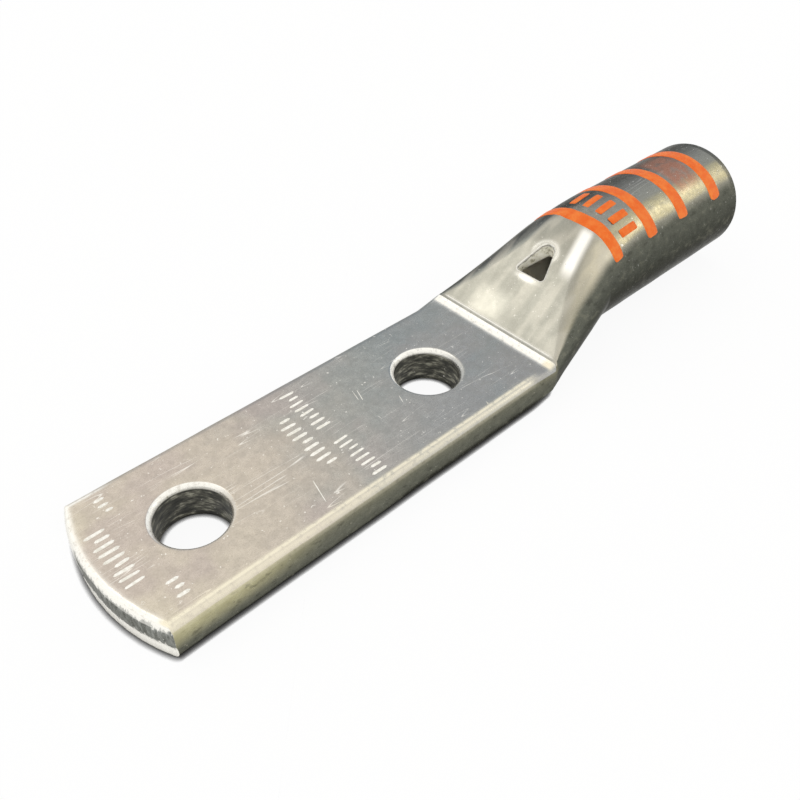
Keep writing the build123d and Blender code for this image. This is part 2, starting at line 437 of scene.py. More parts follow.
def sight_outline(grow=0.0, pinch=0.0):
    """Outline of the sight hole on the ramp's plane, as points (up the ramp, across).

    It is outset by grow, and pinch leads from the outer end of the hole, 0, to the inner one, 1.
    """
    start, length, width, tip = SIGHT_OUTER + (SIGHT_INNER - SIGHT_OUTER) * pinch
    tip_centre = np.array([start + length - tip, 0])
    foot_y = width / 2 - SIGHT_FOOT_R
    feet = [np.array([start + SIGHT_FOOT_R, side * foot_y]) for side in (1, -1)]
    reach = tip_centre - feet[0]
    # Normal of the slanting side, turned from the foot-to-tip line by the difference of radii
    side_angle = pi / 2 - atan2(foot_y, reach[0]) + asin((tip - SIGHT_FOOT_R) / hypot(*reach))
    points = []
    for centre, radius, low, high, count in (
        (tip_centre, tip, -side_angle, side_angle, 25),
        (feet[0], SIGHT_FOOT_R, side_angle, pi, 13),
        (feet[1], SIGHT_FOOT_R, pi, 2 * pi - side_angle, 13),
    ):
        for a in np.linspace(low, high, count):
            points.append(centre + (radius + grow) * np.array([cos(a), sin(a)]))
    return np.array(points)


# Rounding of the hole's outer rim, and the place on the slope that its rows of points are seen from
SIGHT_EASE, SIGHT_EASE_STEPS, SIGHT_WALL_STEPS = 0.35, 5, 11
SLOPE_RINGS, CEILING_RINGS = 22, 6
sight_centre = np.array([2.9, 0.0])


def on_slope(point):
    """Place (up the ramp, across) of a point, along the ramp's normal."""
    d = np.array(point) - foot
    return np.array([d @ up_ramp, d @ across])


def drop(u, v, inset):
    """Point under or over (u, v) of the slope's plane, along its normal, on the skin or the ceiling."""
    base = foot + u * up_ramp + v * across
    depth = 0.0
    for _ in range(12):
        p = base + depth * out
        depth += (crown_height(p[0], p[1], inset) - p[2]) * cos(RAMP_ANGLE)
    return base + depth * out


rim_out = block_rim(grid, sight_rows, sight_columns)
rim_in = block_rim(hollow, inner_sight_rows, inner_sight_columns)


def slope_angles(rim):
    return [atan2(*(on_slope(shell.points[i]) - sight_centre)[::-1]) for i in rim]


out_angle, in_angle = slope_angles(rim_out), slope_angles(rim_in)


def outline_row(angles, grow, pinch=0.0):
    shape = sight_outline(grow, pinch)
    return [ray_to_outline(shape, sight_centre, a) for a in angles]


def fill_slope(rim, target, inset, region, rings):
    start = [on_slope(shell.points[i]) for i in rim]
    row = rim
    for step in range(1, rings + 1):
        share = closing(step / rings, 0.4)
        row = shell.grow(row, [drop(*(a + (b - a) * share), inset) for a, b in zip(start, target)], region)
    return row


row = fill_slope(rim_out, outline_row(out_angle, SIGHT_EASE), 0.0, "skin", SLOPE_RINGS)
for step in range(1, SIGHT_EASE_STEPS + 1):
    turn = step / SIGHT_EASE_STEPS * pi / 2
    target = outline_row(out_angle, SIGHT_EASE * (1 - sin(turn)))
    sunk = out * SIGHT_EASE * (1 - cos(turn))
    row = shell.grow(row, [drop(u, v, 0.0) - sunk for u, v in target], "sight_rim")
# The wall is square to the ramp through, so the ceiling is met before the pinch is complete
CEILING_PINCH = cos(RAMP_ANGLE)
low_points = [drop(u, v, WALL) for u, v in outline_row(out_angle, 0.0, CEILING_PINCH)]
high_points = [np.array(shell.points[i]) for i in row]
for step in range(1, SIGHT_WALL_STEPS):
    points = [a + (b - a) * step / SIGHT_WALL_STEPS for a, b in zip(high_points, low_points)]
    row = shell.grow(row, points, "sight_wall")
# The ceiling's block has another number of points, so its own row is joined by angle
low_outline = outline_row(in_angle, 0.0, CEILING_PINCH)
inner_row = fill_slope(rim_in, low_outline, WALL, "hollow", CEILING_RINGS)


def zip_rows(first, first_angle, second, second_angle):
    """Triangles between two closed rows of different lengths, matched by angle."""
    def ordered(row, angle):
        pairs = sorted(zip(np.array(angle) % (2 * pi), row))
        return [p[1] for p in pairs], [p[0] for p in pairs]

    def following(angles, place):
        """Angle of the next point, where the first comes again after the last, and then none."""
        later = angles[1:] + [angles[0] + 2 * pi]
        return later[place] if place < len(later) else float("inf")

    a, ta = ordered(first, first_angle)
    b, tb = ordered(second, second_angle)
    i = j = 0
    while i < len(a) or j < len(b):
        next_a, next_b = following(ta, i), following(tb, j)
        if i < len(a) and (next_a <= next_b or j >= len(b)):
            shell.faces.append((a[i % len(a)], b[j % len(b)], a[(i + 1) % len(a)]))
            i += 1
        else:
            shell.faces.append((a[i % len(a)], b[j % len(b)], b[(j + 1) % len(b)]))
            j += 1


zip_rows(row, out_angle, inner_row, in_angle)


# Relief pressed and worn into the skin

# Heights in millimetres: of the skin's unevenness, of the forms at the crease and round the sight
# hole, of the torn zone of the nose's face, and of the roughness of the cut faces
SKIN_WAVE, SKIN_RIPPLE, RAMP_WAVE = 0.05, 0.02, 0.07
LEDGE, GROOVE, RIDGE, LIP, LIP_RING, TORN = 0.34, 0.1, 0.1, 0.3, 0.1, 0.16
HOLE_ROUGH, SIGHT_ROUGH, NOSE_ROUGH = 0.02, 0.1, 0.05


def wobble(x, y, z, scale, seed):
    """Smooth unevenness from about -1 to 1, with waves of about the scale in millimetres."""
    return noise.noise(Vector((x / scale + seed, y / scale - seed, z / scale)))


def crease_relief(x, y):
    """The press leaves a sloping ledge at the foot of the ramp, then a groove and a fine ridge."""
    ledge = LEDGE * smooth(x, 37.15, 38.3) * (1 - smooth(x, 38.38, 38.62))
    groove = -GROOVE * hump(x, 38.62, 0.12)
    ridge = RIDGE * hump(x, 38.95, 0.13)
    ends = 1 - smooth(abs(y), 12.8, 13.9)
    return (ledge + groove + ridge) * ends


def lip_relief(x, y, z):
    """Metal pushed up round the sight hole."""
    u, v = on_slope((x, y, z))
    lip = LIP * hump(u, -0.75, 0.5) * hump(v, 0.1, 1.7)
    ring = LIP_RING * hump(hypot(u - 4.7, v), 2.3, 0.35) * smooth(u, 3.0, 5.0)
    return lip + ring


def skin_relief(x, y, z):
    """Offset along the skin's normal, in millimetres."""
    offset = SKIN_WAVE * wobble(x, y, z, 9.0, 3.1) + SKIN_RIPPLE * wobble(x, y, z, 3.5, 8.2)
    if x > CREASE_X:
        on_ramp = smooth(x, 38.5, 42) * (1 - smooth(x, 60, 70))
        offset += RAMP_WAVE * wobble(x, y, z, 6.0, 5.7) * on_ramp
    return offset


def finish_body(piece):
    """Presses the relief into the skin and writes what the material needs to know of each point."""
    mesh = piece.data
    count = len(mesh.vertices)
    places = np.array(shell.points)
    normals = np.zeros(count * 3)
    mesh.vertices.foreach_get("normal", normals)
    normals = normals.reshape(-1, 3)
    moved = places.copy()
    wear_and_highlight, inner, lit = np.zeros(count), np.zeros(count), np.zeros(count)
    for i, ((x, y, z), n, region) in enumerate(zip(places, normals, shell.regions)):
        if region == "hollow":
            inner[i] = 1.0
            continue
        offset = skin_relief(x, y, z)
        if region == "wall":
            inner[i] = 1.0
            offset = HOLE_ROUGH * wobble(x, y, z * 0.3, 0.8, 1.0)
        if region == "sight_wall":
            lit[i] = 1.0
            offset = SIGHT_ROUGH * wobble(x, y, z, 1.3, 4.0)
        # The stud holes' rims are bright: part wear and part painted highlight, strongest towards +Y
        if region == "rim":
            wear_and_highlight[i] = 0.25 + 0.75 * smooth(y, -1.5, 2.5)
        if region == "nose":
            torn = TORN * smooth(z, 1.9, 2.8) * smooth(-z, -5.3, -4.6)
            offset = NOSE_ROUGH * wobble(x, y * 1.5, z * 0.4, 0.9, 6.0) - torn
        # A painted highlight runs along the tongue's top edge on -Y, and on +Y only near the nose
        if region == "skin" and x < CREASE_X and z > TONGUE_T - 1.3:
            near_side = 1 - smooth(x, 31.5, 35.5) if y < 0 else smooth(-x, 26, 31)
            from_edge = section(x)[0] - abs(y)
            wear_and_highlight[i] = near_side * max(hump(from_edge, 1.3, 0.28), 0.6 * hump(from_edge, 0.75, 0.5))
        # And a painted highlight along the top edge of the nose
        if z > TONGUE_T - 1.2 and x < -30:
            back = x - nose_x_at(y)
            wear_and_highlight[i] = max(wear_and_highlight[i], hump(back, 0.45, 0.55) * (1 - smooth(abs(y), 12.6, 13.4)))
        # The crease's ledge and ridge are bright: part wear and part painted highlight
        if region == "skin" and z > TONGUE_T - 0.5 and abs(x - 38.3) < 1.8:
            moved[i, 2] += crease_relief(x, y)
            ledge = smooth(x, 36.5, 37.5) * (1 - smooth(x, 38.3, 38.5)) * (1 - smooth(abs(y), 12.9, 13.7))
            ridge = hump(x, 39.0, 0.16) * (1 - smooth(abs(y), 11.4, 12.6))
            wear_and_highlight[i] = max(wear_and_highlight[i], 0.95 * ledge, 0.7 * ridge)
        # The lip and rim round the sight hole are bright: part wear and part painted highlight
        if region in ("skin", "sight_rim") and 43 < x < 56 and z > 9:
            raised = lip_relief(x, y, z)
            offset += raised
            wear_and_highlight[i] = max(wear_and_highlight[i], min(4.0 * raised, 1.0), 0.7 if region == "sight_rim" else 0.0)
        # The underside stays a flat contact face
        if n[2] < -0.5 and x < 60:
            offset = min(offset, 0)
        moved[i] += n * offset
    low, high = (np.array(b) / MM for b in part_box("lug_body"))
    moved = np.clip(moved, low, high)
    mesh.vertices.foreach_set("co", (moved * MM).ravel())
    mesh.update()
    for name, values in (("wear_and_highlight", wear_and_highlight), ("inner", inner), ("lit", lit)):
        layer = mesh.attributes.new(name, "FLOAT", "POINT")
        layer.data.foreach_set("value", values.astype(np.float32))


# Materials, with places in millimetres, and with colours as seen on the screen

# Brightness of the tin plate, as a share of its colours below
PLATE_TONE = 0.82


class Graph:
    """Short way to lay out the nodes of a material or of the world."""

    def __init__(self, owner):
        self.owner = owner
        owner.use_nodes = True
        self.tree = owner.node_tree
        self.tree.nodes.clear()

    def node(self, kind, inputs=None, **settings):
        node = self.tree.nodes.new("ShaderNode" + kind)
        for key, value in settings.items():
            setattr(node, key, value)
        for key, value in (inputs or {}).items():
            socket = node.inputs[key]
            if isinstance(value, bpy.types.NodeSocket):
                self.tree.links.new(value, socket)
            else:
                socket.default_value = value
        return node

    def done(self, shader, output="OutputMaterial"):
        """Links the shader to an output node, and gives back what the nodes belong to."""
        self.node(output, {"Surface": shader.outputs[0]})
        return self.owner

    def math(self, operation, a, b=None):
        inputs = {0: a} if b is None else {0: a, 1: b}
        return self.node("Math", inputs, operation=operation).outputs[0]

    def plus(self, a, b):
        return self.math("ADD", a, b)

    def minus(self, a, b):
        return self.math("SUBTRACT", a, b)

    def times(self, a, b):
        return self.math("MULTIPLY", a, b)

    def most(self, a, b):
        return self.math("MAXIMUM", a, b)

    def span(self, value, low, high, to_low=0.0, to_high=1.0, kind="SMOOTHSTEP"):
        """A value from low to high as one from to_low to to_high, kept between these."""
        inputs = {"Value": value, "From Min": low, "From Max": high, "To Min": to_low, "To Max": to_high}
        return self.node("MapRange", inputs, interpolation_type=kind).outputs[0]

    def mix(self, share, a, b, blend="MIX"):
        """Colour a, with the share of colour b over it."""
        node = self.tree.nodes.new("ShaderNodeMix")
        node.data_type = "RGBA"
        node.blend_type = blend
        for socket, value in ((node.inputs[0], share), (node.inputs[6], a), (node.inputs[7], b)):
            if isinstance(value, bpy.types.NodeSocket):
                self.tree.links.new(value, socket)
            elif isinstance(value, (int, float)):
                socket.default_value = value
            else:
                socket.default_value = (*value, 1.0)
        return node.outputs[2]

    def ramp(self, value, *stops):
        """Colour between stops of a place from 0 to 1 and a colour."""
        node = self.node("ValToRGB", {"Fac": value})
        elements = node.color_ramp.elements
        while len(elements) < len(stops):
            elements.new(0.5)
        for element, (place, colour) in zip(elements, stops):
            element.position = place
            element.color = (*colour, 1.0)
        return node.outputs[0]

    def noise(self, place, scale, detail, rough):
        inputs = {"Vector": place, "Scale": scale, "Detail": detail, "Roughness": rough}
        return self.node("TexNoise", inputs).outputs["Fac"]

    def stretched(self, place, factors, turn=0.0):
        inputs = {"Vector": place, "Scale": factors, "Rotation": (0, 0, turn)}
        return self.node("Mapping", inputs).outputs[0]


def srgb(*values):
    """A colour given as 0 to 255 on the screen, as linear light."""
    return tuple(((v / 255 + 0.055) / 1.055) ** 2.4 if v > 10 else v / 255 / 12.92 for v in values)


def millimetres(g):
    """Position on the lug in millimetres, its x, y and z, and those of the normal."""
    place = g.node("NewGeometry").outputs
    inputs = {0: place["Position"], 1: (1 / MM, 1 / MM, 1 / MM)}
    position = g.node("VectorMath", inputs, operation="MULTIPLY").outputs[0]
    parts = g.node("SeparateXYZ", {0: position}).outputs
    return position, parts, g.node("SeparateXYZ", {0: place["Normal"]}).outputs


def hairlines(g, position, turn, scale, width):
    """Long thin scratches: contour lines of a noise that is stretched along one direction."""
    drawn = g.noise(g.stretched(position, (0.05 * scale, scale, scale), turn), 1.0, 1.0, 0.4)
    near = g.math("ABSOLUTE", g.minus(drawn, 0.5))
    return g.span(near, 0.0, width, 1.0, 0.0, "LINEAR")


def tongue_top(g, position, x):
    """Warm at the nose, greyer towards the ramp: partly the plating's own tone and partly a painted
    reflection of the surroundings; with soft rosy clouds.
    """
    cloud = g.noise(position, 0.09, 3.0, 0.55)
    drift = g.plus(x, g.span(cloud, 0.3, 0.7, -8.0, 8.0, "LINEAR"))
    tint = g.ramp(g.span(drift, -40.0, 40.0, kind="LINEAR"),
                  (0.0, srgb(226, 218, 200)), (0.32, srgb(217, 208, 196)), (0.42, srgb(204, 198, 189)),
                  (0.52, srgb(188, 188, 183)), (0.64, srgb(176, 180, 178)), (0.8, srgb(168, 175, 176)),
                  (1.0, srgb(180, 184, 182)))
    rosy = g.span(g.noise(position, 0.075, 3.0, 0.5), 0.46, 0.62, 0.0, 0.6)
    rosy = g.times(rosy, g.span(x, 9.0, -3.0, 0.4, 1.0))
    return g.mix(rosy, tint, srgb(206, 194, 190))


def ramp_top(g, position, x, y, side):
    """Silver, with painted shade on the far +Y shoulder, a painted cream reflection on the -Y shoulder, a
    painted highlight patch near the crease, and rubbed streaks down the slope.
    """
    # Painted shade and reflection by the normal's Y: lighter towards -Y, dark on the +Y shoulder
    tint = g.ramp(g.span(side, -0.6, 0.6, kind="LINEAR"),
                  (0.0, srgb(186, 180, 156)), (0.15, srgb(190, 184, 164)), (0.35, srgb(184, 180, 165)),
                  (0.5, srgb(176, 175, 164)), (0.62, srgb(158, 162, 157)), (0.75, srgb(112, 116, 115)),
                  (0.9, srgb(80, 83, 83)))
    streak = g.noise(g.stretched(position, (0.1, 0.4, 0.1), 0.12), 1.0, 1.5, 0.45)
    # A painted cream reflection on the -Y shoulder of the upper ramp
    cream = g.times(g.span(x, 46.0, 53.0), g.span(side, -0.2, -0.38))
    tint = g.mix(cream, tint, srgb(222, 214, 190))
    tint = g.mix(g.span(streak, 0.46, 0.64, 0.0, 0.4), tint, srgb(220, 216, 203))
    tint = g.mix(g.span(streak, 0.5, 0.34, 0.0, 0.4), tint, srgb(154, 153, 144))
    # A painted highlight patch on the ramp near the crease
    painted_highlight_patch = g.times(g.span(x, 38.7, 40.0), g.span(x, 44.5, 41.2))
    painted_highlight_patch = g.times(painted_highlight_patch, g.times(g.span(y, -0.6, 2.4), g.span(y, 9.4, 4.6)))
    tint = g.mix(g.times(painted_highlight_patch, 0.8), tint, srgb(228, 226, 212))
    return tint


def painted_ramp_highlight(g, x, y):
    """Painted soft highlight line over the upper end of the ramp, where the slope meets the tube."""
    line_y = g.plus(g.times(x, 0.257), -17.68)
    off_line = g.math("ABSOLUTE", g.minus(y, line_y))
    beside = g.span(off_line, 1.8, 0.4)
    return g.times(beside, g.times(g.span(x, 48.6, 51.5), g.span(x, 58.6, 56.6)))


def barrel_top(g, position, x, y, side):
    """Dull blue-grey with painted shade towards +Y, a painted cream highlight strip along the -Y side,
    traces of ink near the mouth and a painted dark edge at the mouth.
    """
    # Painted shade by the normal's Y: lighter towards -Y, dark towards +Y
    tint = g.ramp(g.span(side, -0.6, 0.6, kind="LINEAR"),
                  (0.0, srgb(164, 162, 148)), (0.2, srgb(178, 177, 165)), (0.36, srgb(176, 175, 165)),
                  (0.5, srgb(152, 151, 145)), (0.64, srgb(126, 126, 121)), (0.78, srgb(84, 83, 79)),
                  (0.92, srgb(58, 58, 55)))
    cloud = g.noise(g.stretched(position, (0.5, 0.9, 0.9)), 1.0, 4.0, 0.6)
    # A painted cream highlight strip along the -Y side of the barrel
    strip = g.times(g.span(side, -0.36, -0.47), g.span(side, -0.76, -0.69))
    strip = g.times(strip, g.span(cloud, 0.3, 0.56, 0.5, 1.0))
    tint = g.mix(strip, tint, srgb(205, 196, 160))
    tint = g.mix(g.span(cloud, 0.56, 0.72, 0.0, 0.4), tint, srgb(186, 184, 172))
    rub = g.times(g.span(x, 80.4, 82.0), g.span(x, 88.6, 86.8))
    rub = g.times(rub, g.times(g.span(y, -6.8, -4.2), g.span(y, 5.6, 2.0)))
    rub = g.times(rub, g.span(g.noise(position, 0.6, 3.0, 0.6), 0.34, 0.55, 0.4, 0.85))
    tint = g.mix(rub, tint, srgb(216, 148, 120))
    # A painted dark outline along the mouth's eased edge
    return g.mix(g.times(g.span(x, 95.2, 95.8), 0.75), tint, srgb(90, 92, 88))


def flank(g, position, x, z, up, tongue):
    """Painted shade on the sides, darker towards the underside, with a painted cream reflection on the
    tongue's sides near the nose and random blots.
    """
    # On the tube, painted shade by the normal: darkest on the rounded under edge
    tube = g.ramp(g.span(up, -1.0, 1.0, kind="LINEAR"),
                  (0.0, srgb(112, 112, 104)), (0.12, srgb(92, 92, 85)), (0.3, srgb(30, 30, 27)),
                  (0.38, srgb(30, 30, 27)), (0.46, srgb(54, 55, 49)), (0.56, srgb(78, 80, 72)),
                  (0.72, srgb(100, 102, 92)), (1.0, srgb(106, 108, 98)))
    # On the tongue's sides, painted shade by height: dark at the foot, lighter towards the top
    lowered = g.minus(z, g.span(x, -2.0, 8.0, 0.0, 0.6))
    band = g.ramp(g.span(lowered, 0.0, TONGUE_T, kind="LINEAR"),
                  (0.0, srgb(24, 24, 20)), (0.12, srgb(40, 40, 34)), (0.22, srgb(100, 101, 90)),
                  (0.4, srgb(112, 113, 101)), (0.62, srgb(122, 122, 107)), (0.8, srgb(136, 134, 114)),
                  (1.0, srgb(156, 152, 126)))
    # A painted cream reflection on the upper part of the tongue's sides near the nose
    front = g.times(g.span(x, -8.0, -26.0), g.span(z, 1.6, 5.0))
    band = g.mix(g.times(front, 0.9), band, srgb(208, 202, 160))
    tint = g.mix(tongue, tube, band)
    blot = g.noise(g.stretched(position, (0.5, 0.8, 0.8)), 1.0, 4.0, 0.6)
    tint = g.mix(g.span(blot, 0.52, 0.7, 0.0, 0.35), tint, srgb(146, 145, 128))
    return g.mix(g.span(blot, 0.46, 0.32, 0.0, 0.45), tint, srgb(58, 58, 52))


def nose_face(g, position, y, z):
    """Torn grey of the sheared face, and where it is bright: at its bottom, a burr; at its rounded top, a
    painted highlight; and at its +Y end.
    """
    tear = g.noise(g.stretched(position, (1.2, 1.6, 0.45)), 1.0, 4.0, 0.65)
    tint = g.ramp(tear, (0.32, srgb(84, 85, 78)), (0.48, srgb(140, 142, 137)), (0.62, srgb(172, 174, 169)),
                  (0.74, srgb(206, 206, 200)))
    ragged = g.plus(z, g.span(tear, 0.3, 0.7, -0.7, 0.7, "LINEAR"))
    white = g.most(g.span(ragged, 2.7, 2.1), g.span(ragged, 5.1, 5.6))
    white = g.most(white, g.span(g.plus(y, g.times(tear, 3.0)), 5.5, 8.0))
    white = g.times(white, g.span(z, 0.1, 0.45, 0.15, 1.0))
    return tint, white


def tinned_copper():
    """Satin tin plate, mottled, scratched and speckled, with its own colouring for each part of the lug,
    including painted shade, reflections and highlights.
    """
    g = Graph(bpy.data.materials.new("tinned_copper_plate"))
    position, (x, y, z), (ahead, side, up) = millimetres(g)
    tint = tongue_top(g, position, x)
    tint = g.mix(g.span(x, 38.3, 38.7), tint, ramp_top(g, position, x, y, side))
    tint = g.mix(g.span(x, 56.6, 61.0), tint, barrel_top(g, position, x, y, side))
    # The flank begins where the skin turns past an angle that differs along the lug
    tongue = g.span(x, 39.2, 37.8)
    tube_edge = g.span(x, 43.0, 60.0, 0.47, 0.755, "LINEAR")
    edge = g.plus(tube_edge, g.times(tongue, g.minus(0.84, tube_edge)))
    turned = g.minus(g.math("ABSOLUTE", side), edge)
    down = g.span(up, -0.04, -0.2)
    under = g.times(down, g.minus(1.0, g.times(tongue, g.span(up, -0.8, -0.97))))
    soft = g.times(g.span(x, 39.0, 42.0), g.span(x, 60.0, 52.0, 0.06, 0.17))
    on_flank = g.most(g.span(turned, -0.04, g.plus(soft, 0.03)), under)
    # The sides and the rounded under edges take the painted shade of flank()
    tint = g.mix(on_flank, tint, flank(g, position, x, z, up, tongue))
    on_nose = g.times(g.span(ahead, -0.55, -0.75), g.span(x, -28.0, -30.0))
    torn, burr_and_glint = nose_face(g, position, y, z)
    tint = g.mix(on_nose, tint, torn)
    # The rubbed ramp is more even than the rest, in colour and in gloss
    calm = g.times(g.span(x, 38.3, 38.7), g.span(x, 61.0, 56.6, 0.0, 0.7))
    uneven = g.minus(1.0, calm)
    mottle = g.noise(position, 0.9, 4.0, 0.6)
    spots = g.times(uneven, g.span(mottle, 0.35, 0.65, 0.0, 0.26, "LINEAR"))
    tint = g.mix(spots, tint, srgb(190, 188, 182), "MULTIPLY")
    grain = g.noise(position, 4.2, 2.0, 0.7)
    plain = g.minus(1.0, g.most(g.times(calm, 0.6), g.times(on_flank, 0.7)))
    tint = g.mix(g.times(g.span(grain, 0.48, 0.76, 0.0, 0.24, "LINEAR"), plain), tint, srgb(236, 232, 224))
    tint = g.mix(g.times(g.span(grain, 0.46, 0.26, 0.0, 0.22, "LINEAR"), plain), tint, srgb(120, 118, 112))
    # Bright places: flecks, fine scratches, edges and rims that are partly worn and partly painted
    # highlight, the nose's burr and painted highlight, and the painted highlight line over the ramp
    fleck = g.times(g.span(g.noise(position, 1.7, 2.0, 0.6), 0.69, 0.74), plain)
    lines = g.most(hairlines(g, position, 0.5, 0.55, 0.006), hairlines(g, position, -0.7, 0.4, 0.005))
    lines = g.times(lines, g.span(g.noise(position, 0.16, 1.0, 0.5), 0.46, 0.6))
    lines = g.times(lines, g.times(g.span(up, 0.93, 0.99), g.span(x, 60.0, 50.0, 0.3, 1.0)))
    bright = g.most(g.times(fleck, 0.65), g.times(lines, 0.7))
    wear_and_highlight = g.node("Attribute", attribute_name="wear_and_highlight").outputs["Fac"]
    worn_and_glint = g.times(wear_and_highlight, g.span(g.noise(position, 1.4, 3.0, 0.6), 0.28, 0.5, 0.55, 1.0))
    bright = g.most(bright, worn_and_glint)
    bright = g.most(bright, g.times(g.times(on_nose, burr_and_glint), 0.95))
    bright = g.most(bright, g.times(painted_ramp_highlight(g, x, y), g.minus(1.0, on_flank)))
    tint = g.mix(1.0, tint, (PLATE_TONE, PLATE_TONE, PLATE_TONE), "MULTIPLY")
    # The stud holes' walls, and the hollow, which is painted pale under the sight hole as if lit through it
    inner = g.node("Attribute", attribute_name="inner").outputs["Fac"]
    rings = g.noise(g.stretched(position, (0.5, 0.5, 1.7)), 1.0, 4.0, 0.65)
    bore_tint = g.ramp(rings, (0.34, srgb(36, 36, 32)), (0.46, srgb(62, 62, 55)),
                       (0.55, srgb(98, 97, 87)), (0.68, srgb(178, 176, 160)))
    bore_tint = g.mix(g.span(x, 41.0, 45.0), bore_tint, srgb(253, 249, 236))
    bore_tint = g.mix(g.span(x, 58.0, 64.0), bore_tint, srgb(140, 136, 122))
    tint = g.mix(inner, tint, bore_tint)
    # The wall of the sight hole, painted pale as if lit through the opening
    lit = g.node("Attribute", attribute_name="lit").outputs["Fac"]
    wall_tint = g.ramp(g.noise(position, 1.1, 3.0, 0.6), (0.36, srgb(176, 172, 154)),
                       (0.48, srgb(234, 231, 216)), (0.62, srgb(252, 250, 240)))
    tint = g.mix(lit, tint, wall_tint)
    # The painted highlight is creamier along the tongue's -Y edge
    near_edge = g.times(g.span(y, -11.0, -12.0), g.minus(tongue, g.times(tongue, on_nose)))
    white = g.mix(near_edge, srgb(254, 252, 245), srgb(246, 238, 214))
    tint = g.mix(bright, tint, white)
    # Cut faces and bright places mirror less
    dullness = g.most(inner, lit)
    matt = g.most(dullness, g.times(bright, 0.85))
    rough = g.times(uneven, g.span(mottle, 0.3, 0.7, -0.07, 0.07, "LINEAR"))
    rough = g.plus(g.plus(rough, 0.29), g.times(dullness, 0.2))
    rough = g.minus(rough, g.times(wear_and_highlight, 0.06))
    height = g.plus(g.times(mottle, 0.6), g.times(grain, 0.3))
    height = g.times(uneven, g.minus(height, g.times(lines, 0.12)))
    bump = g.node("Bump", {"Height": height, "Strength": 0.12, "Distance": 0.0002})
    metallic = g.span(matt, 0.0, 1.0, 0.9, 0.15, "LINEAR")
    return g.done(g.node("BsdfPrincipled", {
        "Base Color": tint, "Metallic": metallic, "Roughness": rough,
        "Specular Tint": (0.5, 0.5, 0.48, 1.0), "Normal": bump.outputs[0]}))


def orange_ink():
    """Matt marking ink, a little uneven where the roller left less of it."""
    g = Graph(bpy.data.materials.new("orange_marking_ink"))
    position, _, _ = millimetres(g)
    blot = g.noise(position, 0.55, 4.0, 0.65)
    colour = g.mix(g.span(blot, 0.35, 0.7), srgb(226, 100, 24), srgb(235, 128, 55))
    grain = g.noise(position, 3.0, 3.0, 0.7)
    colour = g.mix(g.span(grain, 0.6, 0.78, 0.0, 0.5), colour, srgb(230, 164, 111))
    height = g.plus(blot, g.times(grain, 0.4))
    bump = g.node("Bump", {"Height": height, "Strength": 0.2, "Distance": 0.0001})
    return g.done(g.node("BsdfPrincipled", {
        "Base Color": colour, "Roughness": g.span(blot, 0.3, 0.7, 0.4, 0.58),
        "Specular IOR Level": 0.2, "Normal": bump.outputs[0]}))


def stroke_metal():
    """Bright metal of the pressed strokes and scratches, painted white and not mirroring: part burnish and
    part painted highlight.
    """
    g = Graph(bpy.data.materials.new("burnished_and_highlight_stroke"))
    position, _, _ = millimetres(g)
    blot = g.span(g.noise(position, 2.0, 3.0, 0.6), 0.35, 0.65)
    colour = g.mix(blot, srgb(228, 225, 214), srgb(250, 248, 241))
    return g.done(g.node("BsdfPrincipled", {"Base Color": colour, "Metallic": 0.0, "Roughness": 0.45}))


metal = tinned_copper()
body = shell.build("lug_body_plated", metal)
finish_body(body)
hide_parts("lug_body")
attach(body, "root")


# Print on the barrel

# The film's edges lie in the skin, its rim over it, and its middle over the rim
INK_SINK, INK_LIFT, INK_FILM, INK_STEP = -0.03, 0.05, 0.045, 0.45
BAND_HALF, BANDS_FROM_MOUTH, BAND_WIDTHS = radians(59), (7.2, 18.1, 27.8, 37.8), (3.1, 3.0, 3.0, 2.4)
BAR_L, BAR_HALF, BAR_PITCH, BAR_MIDDLE, BAR_COUNT = 4.4, radians(4), radians(15.5), radians(-8), 5
# Length of the eased ends, and the share of the width at the very end
BAND_EASE, BAR_EASE = (0.9, 0.4), (0.25, 0.94)


def tube_point(x, angle, lift):
    """Point over the skin of the tube at x, at an angle from the top towards +Y."""
    outline = loop(x)
    centre_z = section(x)[1] / 2 if x < BEND_END else TUBE_R
    centre = np.array([0.0, centre_z])
    y, z = ray_to_outline(outline, centre, pi / 2 - angle)
    n = Vector((0, y, z - centre_z)).normalized()
    offset = skin_relief(x, y, z) + lift
    return x, y + n[1] * offset, z + n[2] * offset


def strip(ink_shell, x_middle, half_width, low, high, seed, reach, blunt):
    """A strip of ink over the tube from one angle to another, with eased ends and slightly uneven edges.

    The width grows from the share blunt at an end to all of it at a distance reach.
    """
    steps = max(int((high - low) * TUBE_R / INK_STEP), 8)
    rows = []
    for step in range(steps + 1):
        angle = low + (high - low) * step / steps
        along = min(angle - low, high - angle) * TUBE_R
        share = 1.0 if along >= reach else blunt + (1 - blunt) * sqrt(max(1 - (1 - along / reach) ** 2, 0))
        row = []
        for edge in (-1, -0.96, -0.7, -0.35, 0, 0.35, 0.7, 0.96, 1):
            waver = 0.07 * noise.noise(Vector((angle * TUBE_R / 1.6, seed * 7.3 + edge * 2.0, 0.0)))
            x = x_middle + (half_width * share + waver) * edge
            lift = INK_LIFT + (INK_FILM if abs(edge) < 0.9 else 0.0)
            if step in (0, steps) or abs(edge) == 1:
                lift = INK_SINK
            row.append(tube_point(x, angle, lift))
        rows.append(ink_shell.add(row, "ink"))
    for a, b in zip(rows, rows[1:]):
        ink_shell.band(a, b, closed=False)


